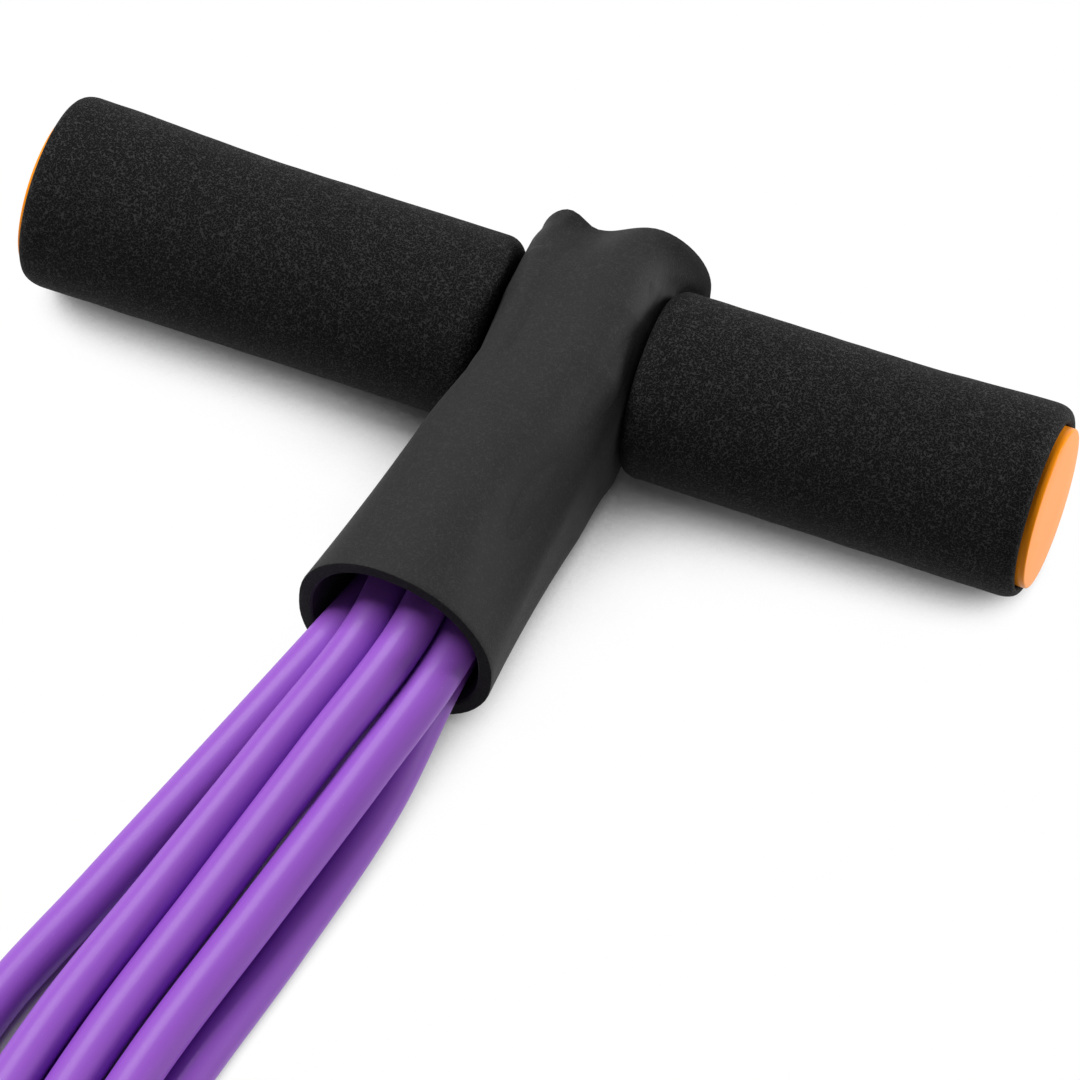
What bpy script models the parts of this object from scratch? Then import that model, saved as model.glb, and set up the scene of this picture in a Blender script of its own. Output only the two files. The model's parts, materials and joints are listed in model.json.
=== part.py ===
"""Pedal resistance band: a foam-gripped handle and a foot bar joined by three loops of latex tube.

Each loop is folded over both bars, so six strands run between the handle and the foot end. A foam sleeve
wraps the folds at each bar. The model lies on the floor as it is put down: +Y from the foot end to the
handle, +X along the bars, +Z up, and the origin on the floor under the middle of the rigid pieces.
"""

import math

import bmesh
import bpy
from mathutils import Vector

MM = 0.001

# Bars: two lengths of the same steel tube
BAR_OD = 19.0 * MM
BAR_WALL = 1.0 * MM
BAR_SPAN = 400.0 * MM
FOOT_SHIFT = -38.0 * MM

# Foam grips and rollers
GRIP_OD = 40.0 * MM
RIGHT_GRIP_LENGTH = 85.8 * MM
LEFT_GRIP_LENGTH = 99.8 * MM
ROLLER_LENGTH = 105.0 * MM
GRIP_END_ROUND = 4.0 * MM
GRIP_LIP = 2.5 * MM

# End caps: a bevelled flange with a hollow stem that plugs the bar
CAP_OD = 34.0 * MM
CAP_FLANGE = 2.5 * MM
CAP_BEVEL = 0.9 * MM
CAP_STEM_LENGTH = 15.0 * MM
CAP_STEM_WALL = 1.8 * MM
RIGHT_CAP_PROUD = 2.2 * MM
LEFT_CAP_PROUD = 1.1 * MM
FOOT_CAP_PROUD = 1.0 * MM

# Latex tubes
TUBE_OD = 9.0 * MM
TUBE_WALL = 1.5 * MM
TUBE_SPACING = 0.4 * MM
FOLD_CLEARANCE = 0.4 * MM
FOLD_STEPS = 10
TUBE_POINT_STEP = 2.8

# Joiners that close each loop, on the lower strand beside the handle's bar
JOINER_PLACE = -9.0 * MM
JOINER_COLLAR = 2.0 * MM
JOINER_NECK_LENGTH = 2.0 * MM
JOINER_BARB_LENGTH = 3.0 * MM
JOINER_STEM_R = 1.7 * MM
JOINER_BARB_R = 2.3 * MM
JOINER_STEPS = 12

# Foam sleeves, pressed thinner between the tubes and the grips
SLEEVE_WALL = 3.0 * MM
SLEEVE_SIDE_WALL = 1.7 * MM
SLEEVE_FLAT = 0.6 * MM
SLEEVE_MOUTH = 80.0 * MM
SLEEVE_BACK = 22.4 * MM
SHOULDER = 1.3 * MM
SHOULDER_RUN = 8.0 * MM
MOUTH_FLARE = 3.6 * MM
MOUTH_SHIFT = -8.6 * MM
MOUTH_LEAN = math.tan(math.radians(6.0))
BACK_FLARE = 3.0 * MM
BACK_SHIFT = 3.5 * MM
END_DROP = 0.6 * MM
WAIST_CORNER = 10.5 * MM
MOUTH_CORNER = 20.5 * MM
BACK_CORNER = 17.0 * MM
SPREAD_RUN = 3.2 * MM
GROOVE_DEPTH = 6.2 * MM
GROOVE_WIDTH = 5.2 * MM
GROOVE_PLACE = -4.6 * MM
GROOVE_START = 2.0 * MM
FRONT_ROWS = 4
FLAT_POINTS = 2
CORNER_STEPS = 5

# Fits, and how finely round forms are made
CLEARANCE = 0.3 * MM
BORE_GUIDE_REACH = 10.0 * MM
ROUND_STEPS = 28
ARC_STEPS = 3
SHARP_ANGLE = math.radians(35.0)
MERGE_DISTANCE = 0.01 * MM

# Places that follow from the sizes above
BAR_R = BAR_OD / 2
TUBE_R = TUBE_OD / 2
GRIP_R = GRIP_OD / 2
CAP_R = CAP_OD / 2
TUBE_PITCH = TUBE_OD + TUBE_SPACING
FOLD_R = BAR_R + FOLD_CLEARANCE + TUBE_R
SLEEVE_HALF_HEIGHT = FOLD_R + TUBE_R + CLEARANCE + SLEEVE_WALL
SLEEVE_WAIST = TUBE_PITCH + TUBE_R + CLEARANCE + SLEEVE_SIDE_WALL
BAR_Z = SLEEVE_HALF_HEIGHT - SLEEVE_FLAT
GRIP_START = SLEEVE_WAIST + CLEARANCE
SPREAD_START = GRIP_R + CLEARANCE
FRONT_START = 0.8 * GRIP_R
REAR_START = 0.5 * GRIP_R
HANDLE_RIGHT = GRIP_START + RIGHT_GRIP_LENGTH + RIGHT_CAP_PROUD
HANDLE_LEFT = GRIP_START + LEFT_GRIP_LENGTH + LEFT_CAP_PROUD
FOOT_HALF = GRIP_START + ROLLER_LENGTH + FOOT_CAP_PROUD
BAND_X = -(HANDLE_RIGHT + FOOT_SHIFT - FOOT_HALF) / 2
BAND_Y = BAR_SPAN / 2

# Route of the six strands, in millimetres from the floor under the middle of the handle's bar. Each row is a
# distance from that bar, then x and z for the left, middle and right loop. They drift to the left.
UPPER_ROUTE = (
    (-22, (-9.6, 34.0), (-0.4, 35.8), (8.7, 34.0)),
    (-36, (-11.8, 31.0), (-2.6, 33.4), (6.5, 31.0)),
    (-50, (-13.6, 27.8), (-4.5, 30.8), (4.5, 27.8)),
    (-80, (-14.0, 24.2), (-5.0, 27.7), (3.4, 23.6)),
    (-110, (-22.0, 18.5), (-12.5, 22.0), (-3.0, 19.5)),
    (-145, (-31.1, 14.0), (-21.4, 15.5), (-11.4, 15.0)),
    (-180, (-38.9, 13.0), (-28.9, 13.0), (-18.9, 13.0)),
    (-220, (-43.6, 13.0), (-33.6, 13.0), (-23.9, 13.0)),
    (-260, (-46.4, 13.0), (-36.6, 13.8), (-26.9, 13.2)),
    (-290, (-47.5, 16.4), (-38.0, 17.4), (-28.4, 16.8)),
    (-320, (-47.5, 23.4), (-38.0, 25.2), (-28.5, 23.4)),
    (-350, (-47.3, 29.5), (-38.0, 30.9), (-28.7, 29.5)),
    (-378, (-47.2, 33.8), (-38.0, 35.5), (-28.8, 33.8)),
)
LOWER_ROUTE = (
    (-16, (-9.4, 7.2), (0.0, 7.2), (9.4, 7.2)),
    (-28, (-11.0, 9.8), (-1.6, 7.6), (7.7, 9.8)),
    (-50, (-14.2, 14.5), (-4.8, 8.6), (4.4, 13.5)),
    (-80, (-20.9, 17.8), (-9.1, 8.0), (1.8, 13.8)),
    (-110, (-31.5, 12.0), (-17.5, 5.5), (0.0, 9.5)),
    (-145, (-43.9, 5.5), (-27.5, 4.7), (-6.5, 5.0)),
    (-180, (-53.4, 4.7), (-34.5, 4.7), (-13.0, 4.7)),
    (-220, (-55.6, 4.7), (-38.7, 4.7), (-17.8, 4.7)),
    (-260, (-54.6, 4.9), (-40.0, 4.7), (-22.4, 4.9)),
    (-290, (-52.0, 7.0), (-39.5, 5.4), (-25.3, 7.0)),
    (-320, (-47.8, 12.7), (-38.2, 8.0), (-28.2, 12.7)),
    (-350, (-47.3, 12.2), (-38.0, 8.0), (-28.7, 12.2)),
    (-378, (-47.2, 9.3), (-38.0, 7.5), (-28.8, 9.3)),
)

LOOPS = (("left", -1), ("middle", 0), ("right", 1))


def clear_scene():
    for old in list(bpy.data.objects):
        bpy.data.objects.remove(old, do_unlink=True)


def finish(name, color, roughness, metallic=0.0):
    material = bpy.data.materials.new(name)
    material.use_nodes = True
    shader = material.node_tree.nodes["Principled BSDF"]
    shader.inputs["Base Color"].default_value = (*color, 1.0)
    shader.inputs["Roughness"].default_value = roughness
    shader.inputs["Metallic"].default_value = metallic
    return material


def empty(name, place, parent=None):
    frame = bpy.data.objects.new(name, None)
    frame.location = place
    frame.parent = parent
    bpy.context.collection.objects.link(frame)
    return frame


def add_object(name, data, material, parent, place=(0, 0, 0), turn=(0, 0, 0)):
    piece = bpy.data.objects.new(name, data)
    data.materials.append(material)
    piece.parent = parent
    piece.location = place
    piece.rotation_euler = turn
    bpy.context.collection.objects.link(piece)
    return piece


def mesh_from(name, form):
    bmesh.ops.recalc_face_normals(form, faces=form.faces)
    mesh = bpy.data.meshes.new(name)
    form.to_mesh(mesh)
    form.free()
    mesh.shade_smooth()
    mesh.set_sharp_from_angle(angle=SHARP_ANGLE)
    return mesh


def turned(name, profile, closed, steps=ROUND_STEPS):
    """A profile of (along, radius) points spun about the X axis. A closed profile never meets the axis."""
    form = bmesh.new()
    points = [form.verts.new((along, 0, radius)) for along, radius in profile]
    pairs = list(zip(points, points[1:]))
    if closed:
        pairs.append((points[-1], points[0]))
    edges = [form.edges.new(pair) for pair in pairs]
    bmesh.ops.spin(form, geom=points + edges, cent=(0, 0, 0), axis=(1, 0, 0), angle=math.tau,
                   steps=steps, use_merge=True)
    bmesh.ops.remove_doubles(form, verts=form.verts, dist=MERGE_DISTANCE)
    return mesh_from(name, form)


def quarter(along, radius, reach_along, reach_radius, start, steps=ARC_STEPS):
    """Points of a quarter ellipse about (along, radius), from the angle start to start plus 90 degrees."""
    turns = [math.radians(start + 90 * i / steps) for i in range(steps + 1)]
    return [(along + reach_along * math.cos(t), radius + reach_radius * math.sin(t)) for t in turns]


def make_bar(name, low, high, material, parent):
    bore = BAR_R - BAR_WALL
    profile = ((low, BAR_R), (high, BAR_R), (high, bore), (low, bore))
    add_object(name, turned(name, profile, True), material, parent)


def make_grip(name, side, length, cap_proud, material, parent):
    """Foam tube from the sleeve's waist to the bar's end, with a seat for the cap's flange."""
    start = GRIP_START
    end = GRIP_START + length
    bore = BAR_R + CLEARANCE
    seat = CAP_R + CLEARANCE
    seat_floor = end - (CAP_FLANGE - cap_proud) - CLEARANCE
    profile = [(start, bore)]
    inner = quarter(start + GRIP_END_ROUND, GRIP_R - GRIP_END_ROUND, GRIP_END_ROUND, GRIP_END_ROUND, 90)
    profile += inner[::-1]
    outer = quarter(end - GRIP_END_ROUND, GRIP_R - GRIP_LIP, GRIP_END_ROUND, GRIP_LIP, 0)
    profile += outer[::-1]
    profile += [(end, seat), (seat_floor, seat), (seat_floor, bore)]
    profile = [(side * along, radius) for along, radius in profile]
    add_object(name, turned(name, profile, True), material, parent)


def make_cap(name, side, face, material, parent):
    """Plug with its flat face at the given distance from the bar's middle."""
    back = face - CAP_FLANGE
    tip = back - CAP_STEM_LENGTH
    stem = BAR_R - BAR_WALL - CLEARANCE
    hollow = stem - CAP_STEM_WALL
    profile = ((face, 0), (face, CAP_R - CAP_BEVEL), (face - CAP_BEVEL, CAP_R), (back, CAP_R), (back, stem),
               (tip, stem), (tip, hollow), (back, hollow), (back, 0))
    profile = [(side * along, radius) for along, radius in profile]
    add_object(name, turned(name, profile, False), material, parent)


def clamped(t):
    return min(max(t, 0.0), 1.0)


def smooth(t):
    t = clamped(t)
    return t * t * (3 - 2 * t)


def sleeve_places():
    """Where the sleeve's rings stand, mouth to back: closest beside the grips' round ends."""
    beside = [GRIP_R * part for part in (-1.4, -1.2, -1.0, -0.8, -0.5, 0.0, 0.5, 0.8, 1.0)]
    run = SLEEVE_MOUTH + beside[0]
    return [run * i / FRONT_ROWS - SLEEVE_MOUTH for i in range(FRONT_ROWS)] + beside + [SLEEVE_BACK]


def sleeve_shape(along):
    """Middle, half width, half height, corner and the bore's corner at a place along the sleeve."""
    front = clamped((-along - FRONT_START) / (SLEEVE_MOUTH - FRONT_START))
    rear = clamped((along - REAR_START) / (SLEEVE_BACK - REAR_START))
    snug = TUBE_R + CLEARANCE
    middle = MOUTH_SHIFT * front + BACK_SHIFT * rear ** 2
    shoulder = SHOULDER * smooth((-along - FRONT_START) / SHOULDER_RUN)
    wide = SLEEVE_WAIST + shoulder + MOUTH_FLARE * front ** 2 + BACK_FLARE * rear ** 4
    half_height = SLEEVE_HALF_HEIGHT - END_DROP * (front + rear)
    corner = WAIST_CORNER + (MOUTH_CORNER - WAIST_CORNER) * math.sqrt(front)
    corner += (BACK_CORNER - WAIST_CORNER) * rear
    bore_corner = snug + (MOUTH_CORNER - SLEEVE_WALL - snug) * front
    bore_corner += (BACK_CORNER - SLEEVE_WALL - snug) * rear
    return middle, wide, half_height, corner, bore_corner


def rounded_outline(half_width, half_height, corner_x, corner_z):
    """Points of a rounded rectangle from its lower side round, alike on each flat and on each corner."""
    sides = ((0, -1), (1, 0), (0, 1), (-1, 0))
    half = Vector((half_width, half_height))
    corner = Vector((min(corner_x, half_width), min(corner_z, half_height)))
    points = []
    for out in sides:
        out = Vector(out)
        along = Vector((-out.y, out.x))
        for i in range(FLAT_POINTS):
            run = 2 * (i + 1) / (FLAT_POINTS + 1) - 1
            points.append(out * half + along * (half - corner) * run)
        for i in range(CORNER_STEPS + 1):
            turn = math.pi / 2 * i / CORNER_STEPS
            round_out = out * math.cos(turn) + along * math.sin(turn)
            points.append((out + along) * (half - corner) + round_out * corner)
    return points


def sleeve_ring(form, along, skew, is_bore):
    """One ring of the sleeve's outside or bore. It spreads only outside the grips' round ends."""
    middle, wide, half_height, corner, bore_corner = sleeve_shape(along)
    narrow = SLEEVE_WAIST
    if is_bore:
        narrow -= SLEEVE_SIDE_WALL
        wide = max(wide - SLEEVE_WALL, narrow)
        half_height -= SLEEVE_WALL
        corner = bore_corner
    widening = wide / narrow
    groove = GROOVE_DEPTH * smooth((along - GROOVE_START) / (SLEEVE_BACK - GROOVE_START))
    lean = skew * MOUTH_LEAN * smooth(-along / SLEEVE_MOUTH)
    ring = []
    for point in rounded_outline(narrow, half_height, corner / widening, corner):
        spread = smooth((math.hypot(along, point.y) - SPREAD_START) / SPREAD_RUN)
        x = point.x * (1 + spread * (widening - 1))
        z = BAR_Z + point.y
        if point.y > 0:
            z -= groove * math.exp(-((x - GROOVE_PLACE) / GROOVE_WIDTH) ** 2)
        ring.append(form.verts.new((x + spread * skew * middle, along - lean * x, max(z, 0.0))))
    return ring


def make_sleeve(name, skew, turn, bore_cutter, material, parent):
    """Soft tube round the bar and the folds: round at both ends, pressed flat between the grips."""
    form = bmesh.new()
    places = sleeve_places()
    outer = [sleeve_ring(form, along, skew, False) for along in places]
    inner = [sleeve_ring(form, along, skew, True) for along in places]
    strips = list(zip(outer, outer[1:])) + list(zip(inner, inner[1:]))
    strips += [(outer[0], inner[0]), (outer[-1], inner[-1])]
    for one, other in strips:
        for i in range(len(one)):
            j = (i + 1) % len(one)
            form.faces.new((one[i], one[j], other[j], other[i]))
    sleeve = add_object(name, mesh_from(name, form), material, parent, turn=(0, 0, turn))
    cut = sleeve.modifiers.new("bar holes", "BOOLEAN")
    cut.operation = "DIFFERENCE"
    cut.object = bore_cutter


def make_bore_cutter(name, material, parent):
    """Guide that opens the sleeve's two sides for the bar."""
    reach = SLEEVE_WAIST + BORE_GUIDE_REACH
    radius = BAR_R + CLEARANCE
    profile = ((-reach, 0), (-reach, radius), (reach, radius), (reach, 0))
    cutter = add_object(name, turned(name, profile, False), material, parent, place=(0, 0, BAR_Z))
    cutter.hide_render = True
    cutter.display_type = "WIRE"
    return cutter


def fold(bar_x, bar_y, side):
    """Half turn of a tube over a bar, from its upper strand to its lower one on the given side in y."""
    turns = [math.pi * i / FOLD_STEPS for i in range(FOLD_STEPS + 1)]
    centre = Vector((bar_x, bar_y, BAR_Z))
    return [centre + FOLD_R * Vector((0, side * math.sin(t), math.cos(t))) for t in turns]


def strand(route, index):
    return [Vector((row[1 + index][0], row[0], row[1 + index][1])) * MM for row in route]


def loop_route(index, place):
    """One tube's middle line: from the joiner along the lower strand, round the foot bar and back."""
    x = place * TUBE_PITCH
    low_z = BAR_Z - FOLD_R
    half_gap = JOINER_COLLAR / 2 + CLEARANCE
    lower = strand(LOWER_ROUTE, index)
    upper = strand(UPPER_ROUTE, index)
    far_fold = fold(FOOT_SHIFT + x, -BAR_SPAN, -1)[::-1]
    near_fold = fold(x, 0.0, 1)
    start = Vector((x, JOINER_PLACE - half_gap, low_z))
    end = Vector((x, JOINER_PLACE + half_gap, low_z))
    return [start] + lower + far_fold + upper[::-1] + near_fold + [end]


def smooth_route(route, step):
    """Points along a Catmull-Rom curve through the route, at most one step apart."""
    padded = [2 * route[0] - route[1]] + route + [2 * route[-1] - route[-2]]
    points = []
    for before, a, b, after in zip(padded, padded[1:], padded[2:], padded[3:]):
        pieces = max(1, math.ceil((b - a).length / step))
        length = (b - a).length
        lead = (b - before) * length / ((a - before).length + length)
        tail = (after - a) * length / ((after - b).length + length)
        for i in range(pieces):
            t = i / pieces
            rise = t * t * (3 - 2 * t)
            ends = (1 - rise) * a + rise * b
            points.append(ends + t * (1 - t) ** 2 * lead - t * t * (1 - t) * tail)
    points.append(route[-1])
    return points


def make_tube(name, route, material, parent):
    points = smooth_route(route, TUBE_POINT_STEP * TUBE_OD)
    curve = bpy.data.curves.new(name, "CURVE")
    curve.dimensions = "3D"
    curve.bevel_depth = TUBE_R
    curve.bevel_resolution = 2
    spline = curve.splines.new("POLY")
    spline.points.add(len(points) - 1)
    for target, point in zip(spline.points, points):
        target.co = (*point, 1.0)
    tube = add_object(name, curve, material, parent)
    wall = tube.modifiers.new("tube wall", "SOLIDIFY")
    wall.thickness = TUBE_WALL
    wall.offset = -1.0
    wall.use_even_offset = True


def make_joiner(name, place, material, parent):
    """Collar between a tube's two ends, with a barbed stem into each bore."""
    collar = JOINER_COLLAR / 2
    neck = collar + JOINER_NECK_LENGTH
    tip = neck + JOINER_BARB_LENGTH
    half = [(collar, TUBE_R), (collar, JOINER_STEM_R), (neck, JOINER_STEM_R), (neck, JOINER_BARB_R),
            (tip, JOINER_STEM_R), (tip, 0)]
    profile = [(-along, radius) for along, radius in half[::-1]] + half
    spot = (place * TUBE_PITCH, JOINER_PLACE, BAR_Z - FOLD_R)
    mesh = turned(name, profile, False, JOINER_STEPS)
    add_object(name, mesh, material, parent, place=spot, turn=(0, 0, math.pi / 2))


def main():
    clear_scene()
    steel = finish("bar steel", (0.55, 0.55, 0.57), 0.35, 1.0)
    foam = finish("black foam", (0.022, 0.022, 0.024), 0.9)
    sleeve_foam = finish("grey sleeve foam", (0.040, 0.040, 0.042), 0.75)
    latex = finish("purple latex", (0.30, 0.09, 0.60), 0.35)
    plug = finish("orange plastic", (1.0, 0.30, 0.01), 0.4)
    joiner_plastic = finish("black plastic", (0.03, 0.03, 0.03), 0.5)

    band = empty("band_frame", (BAND_X, BAND_Y, 0))
    handle = empty("handle_axis", (0, 0, BAR_Z), band)
    foot = empty("foot_frame", (FOOT_SHIFT, -BAR_SPAN, 0), band)
    foot_axis = empty("foot_axis", (0, 0, BAR_Z), foot)

    bar_inset = CAP_FLANGE + CLEARANCE
    make_bar("handle_bar", -(HANDLE_LEFT - bar_inset), HANDLE_RIGHT - bar_inset, steel, handle)
    make_grip("left_grip", -1, LEFT_GRIP_LENGTH, LEFT_CAP_PROUD, foam, handle)
    make_grip("right_grip", 1, RIGHT_GRIP_LENGTH, RIGHT_CAP_PROUD, foam, handle)
    make_cap("left_end_cap", -1, HANDLE_LEFT, plug, handle)
    make_cap("right_end_cap", 1, HANDLE_RIGHT, plug, handle)

    make_bar("foot_bar", -(FOOT_HALF - bar_inset), FOOT_HALF - bar_inset, steel, foot_axis)
    for side, word in ((-1, "left"), (1, "right")):
        make_grip(word + "_foot_roller", side, ROLLER_LENGTH, FOOT_CAP_PROUD, foam, foot_axis)
        make_cap(word + "_foot_cap", side, FOOT_HALF, plug, foot_axis)

    handle_cutter = make_bore_cutter("handle_bore_guide", steel, band)
    foot_cutter = make_bore_cutter("foot_bore_guide", steel, foot)
    make_sleeve("handle_sleeve", 1.0, 0.0, handle_cutter, sleeve_foam, band)
    make_sleeve("foot_sleeve", 0.0, math.pi, foot_cutter, sleeve_foam, foot)

    for index, (word, place) in enumerate(LOOPS):
        make_tube(word + "_tube_loop", loop_route(index, place), latex, band)
        make_joiner(word + "_tube_joiner", place, joiner_plastic, band)


main()
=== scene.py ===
"""Pedal resistance band on a white studio floor: foam grips, moulded plugs, foam sleeves and latex tubes."""

import json
import math

import bmesh
import bpy
import numpy as np
from mathutils import Matrix, Vector


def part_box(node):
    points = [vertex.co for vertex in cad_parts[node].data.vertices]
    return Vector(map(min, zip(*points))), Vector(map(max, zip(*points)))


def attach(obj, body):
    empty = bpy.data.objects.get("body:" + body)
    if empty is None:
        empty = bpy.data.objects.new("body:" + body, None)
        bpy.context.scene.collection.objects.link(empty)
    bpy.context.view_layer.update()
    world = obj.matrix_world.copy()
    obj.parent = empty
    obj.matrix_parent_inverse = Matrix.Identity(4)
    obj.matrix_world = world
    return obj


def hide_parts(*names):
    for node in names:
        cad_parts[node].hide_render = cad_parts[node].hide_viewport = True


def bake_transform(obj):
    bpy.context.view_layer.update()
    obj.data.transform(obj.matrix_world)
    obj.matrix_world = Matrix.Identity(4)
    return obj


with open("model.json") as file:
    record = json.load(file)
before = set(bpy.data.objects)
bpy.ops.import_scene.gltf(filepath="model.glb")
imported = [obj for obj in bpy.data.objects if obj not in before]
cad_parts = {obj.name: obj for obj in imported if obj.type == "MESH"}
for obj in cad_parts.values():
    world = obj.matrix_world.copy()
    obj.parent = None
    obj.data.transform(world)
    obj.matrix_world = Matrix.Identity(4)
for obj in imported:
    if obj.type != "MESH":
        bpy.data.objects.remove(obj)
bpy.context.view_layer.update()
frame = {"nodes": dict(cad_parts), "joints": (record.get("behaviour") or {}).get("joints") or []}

MM = 0.001

# Places and radii of the bars and what sits on them, read from the frame
JOINTS = {joint["name"]: joint for joint in frame["joints"]}
HANDLE = Vector(JOINTS["handle_roll"]["pos_m"])
FOOT = Vector(JOINTS["foot_roll"]["pos_m"])
BAR_RADIUS = (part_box("handle_bar")[1].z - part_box("handle_bar")[0].z) / 2
GRIP_RADIUS = (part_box("left_grip")[1].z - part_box("left_grip")[0].z) / 2
CAP_RADIUS = (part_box("left_end_cap")[1].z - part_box("left_end_cap")[0].z) / 2
CLEARANCE = 0.3 * MM

# Rounds of turned pieces, and the angle past which an edge stays sharp
ROUND_STEPS = 8
SHARP_ANGLE = math.radians(38.0)

# Foam grips and rollers: how their ends are rounded and swell, by a height over a run, and the foam's waves
INNER_ROUND = 4.0 * MM
OUTER_ROUND = 4.0 * MM
LIP_DROP = 1.7 * MM
LIP_ROUND = 1.0 * MM
END_SWELL = {"left_grip": (1.6 * MM, 50 * MM), "right_grip": (1.1 * MM, 35 * MM)}
SWELL_TURN = math.radians(36.0)
WAVE_COUNT = 14
WAVE_HEIGHT = 0.105 * MM
WAVE_LENGTH = 9.0 * MM
WAVE_LENGTHS = (0.7, 3.0)
WAVE_WEIGHTS = (0.2, 1.0)
WAVE_TURNS = 9
GRIP_STEP = 0.9 * MM
GRIP_SIDES = 132

# The handle's right end is cut at a slant, and its plug sits deeper
END_LEAN = {"right": math.tan(math.radians(4.3))}
LEAN_WAY = Vector((0, -0.57, 0.82))
LEAN_RUN = 20.0 * MM
PLUG_SINK = {"right_end_cap": 0.6 * MM}

# Plugs in the bars' ends
CAP_FLANGE = 2.5 * MM
CAP_EDGE_ROUND = 0.45 * MM
CAP_BACK_ROUND = 0.25 * MM
CAP_FACE_RING = 0.5
CAP_STEM_LENGTH = 15.0 * MM
CAP_STEM_WALL = 1.8 * MM
BAR_WALL = 1.0 * MM
CAP_SIDES = 120

# Foam sleeves, pressed thinner between the tubes and the grips. Places along one start at its bar, and those
# towards the mouth are below zero.
SLEEVE_WALL = 3.0 * MM
SLEEVE_SIDE_WALL = 1.2 * MM
SLEEVE_MOUTH = 80.0 * MM
SLEEVE_BACK = 22.4 * MM
SLEEVE_HALF_HEIGHT = 22.2 * MM
SLEEVE_WAIST = 15.9 * MM
SHOULDER = 1.3 * MM
SHOULDER_RUN = 20.0 * MM
MOUTH_FLARE = 4.1 * MM
MOUTH_SHIFT = -8.6 * MM
MOUTH_SHIFT_BEND = 0.85
MOUTH_LEAN = math.tan(math.radians(6.0))
BACK_FLARE = 3.0 * MM
BACK_SHIFT = 3.5 * MM
END_DROP = 0.6 * MM
WAIST_CORNER = 10.5 * MM
MOUTH_CORNER = 20.5 * MM
MOUTH_CORNER_BEND = 0.7
BACK_CORNER = 15.0 * MM
RIDGE_CORNER = 13.5 * MM
SPREAD_START = GRIP_RADIUS + CLEARANCE
SPREAD_RUN = 5.0 * MM
FLARE_START = GRIP_RADIUS - 0.8 * MM
FLARE_RUN = 2.8 * MM
# Where the handle's sleeve gets painted light: a box across and along from its bar, over the rear flare that
# faces away from the lamps
FLARE_PAINTED_LIGHT_BOX = ((14 * MM, 22 * MM), (9 * MM, 20 * MM))
FRONT_START = 0.8 * GRIP_RADIUS
REAR_START = 0.5 * GRIP_RADIUS
GROOVE_DEPTH = 4.4 * MM
GROOVE_WIDTHS = (4.2 * MM, 8.5 * MM)
GROOVE_PLACE = -7.0 * MM
GROOVE_START = 2.0 * MM
CREASE_DEPTH = 2.6 * MM
CREASE_REACH = 42.0 * MM
DENT_DEPTH = 3.0 * MM
DENT_PLACE = -52.0 * MM
DENT_REACH = 18.0 * MM
DENT_RISE = 16.0 * MM
DENT_SPAN = 7.0 * MM
SLEEVE_EDGE = 0.35 * MM
SLEEVE_EDGE_BREAK = 0.3 * SLEEVE_EDGE
SLEEVE_STEP = 1.1 * MM
SLEEVE_FLAT_POINTS = 14
SLEEVE_CORNER_STEPS = 14
BAR_HOLE_SIDES = 64
BAR_HOLE_REACH = SLEEVE_WAIST + 10.0 * MM

# Latex tubes
TUBE_OD = 9.0 * MM
TUBE_SHOWN_OD = 9.1 * MM
TUBE_PITCH = 9.4 * MM
FOLD_RADIUS = 14.4 * MM
FOLD_STEPS = 10
JOINER_PLACE = -9.0 * MM
JOINER_HALF_GAP = 1.3 * MM
TUBE_STEP = 2.0 * MM
TUBE_SIDES = 32

# Route of the six strands, in millimetres from the floor under the middle of the handle's bar. Each row is a
# distance from that bar, then x and z for the left, middle and right loop. They drift to the left.
UPPER_ROUTE = (
    (-22, (-9.6, 34.0), (-0.4, 35.8), (8.7, 34.0)),
    (-36, (-11.8, 31.0), (-2.6, 33.4), (6.5, 31.0)),
    (-50, (-13.6, 27.8), (-4.5, 30.8), (4.5, 27.8)),
    (-80, (-14.0, 24.2), (-5.0, 27.7), (3.4, 23.6)),
    (-110, (-22.0, 18.5), (-12.5, 22.0), (-3.0, 19.5)),
    (-145, (-31.1, 14.0), (-21.4, 15.5), (-11.4, 15.0)),
    (-180, (-38.9, 13.0), (-28.9, 13.0), (-18.9, 13.0)),
    (-220, (-43.6, 13.0), (-33.6, 13.0), (-23.9, 13.0)),
    (-260, (-46.4, 13.0), (-36.6, 13.8), (-26.9, 13.2)),
    (-290, (-47.5, 16.4), (-38.0, 17.4), (-28.4, 16.8)),
    (-320, (-47.5, 23.4), (-38.0, 25.2), (-28.5, 23.4)),
    (-350, (-47.3, 29.5), (-38.0, 30.9), (-28.7, 29.5)),
    (-378, (-47.2, 33.8), (-38.0, 35.5), (-28.8, 33.8)),
)
LOWER_ROUTE = (
    (-16, (-9.4, 7.2), (0.0, 7.2), (9.4, 7.2)),
    (-28, (-11.0, 9.8), (-1.6, 7.6), (7.7, 9.8)),
    (-50, (-14.2, 14.5), (-4.8, 8.6), (4.4, 13.5)),
    (-80, (-20.9, 17.8), (-9.1, 8.0), (1.8, 13.8)),
    (-110, (-31.5, 12.0), (-17.5, 5.5), (0.0, 9.5)),
    (-145, (-43.9, 5.5), (-27.5, 4.7), (-6.5, 5.0)),
    (-180, (-53.4, 4.7), (-34.5, 4.7), (-13.0, 4.7)),
    (-220, (-55.6, 4.7), (-38.7, 4.7), (-17.8, 4.7)),
    (-260, (-54.6, 4.9), (-40.0, 4.7), (-22.4, 4.9)),
    (-290, (-52.0, 7.0), (-39.5, 5.4), (-25.3, 7.0)),
    (-320, (-47.8, 12.7), (-38.2, 8.0), (-28.2, 12.7)),
    (-350, (-47.3, 12.2), (-38.0, 8.0), (-28.7, 12.2)),
    (-378, (-47.2, 9.3), (-38.0, 7.5), (-28.8, 9.3)),
)
LOOPS = (("left", -1), ("middle", 0), ("right", 1))

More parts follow.
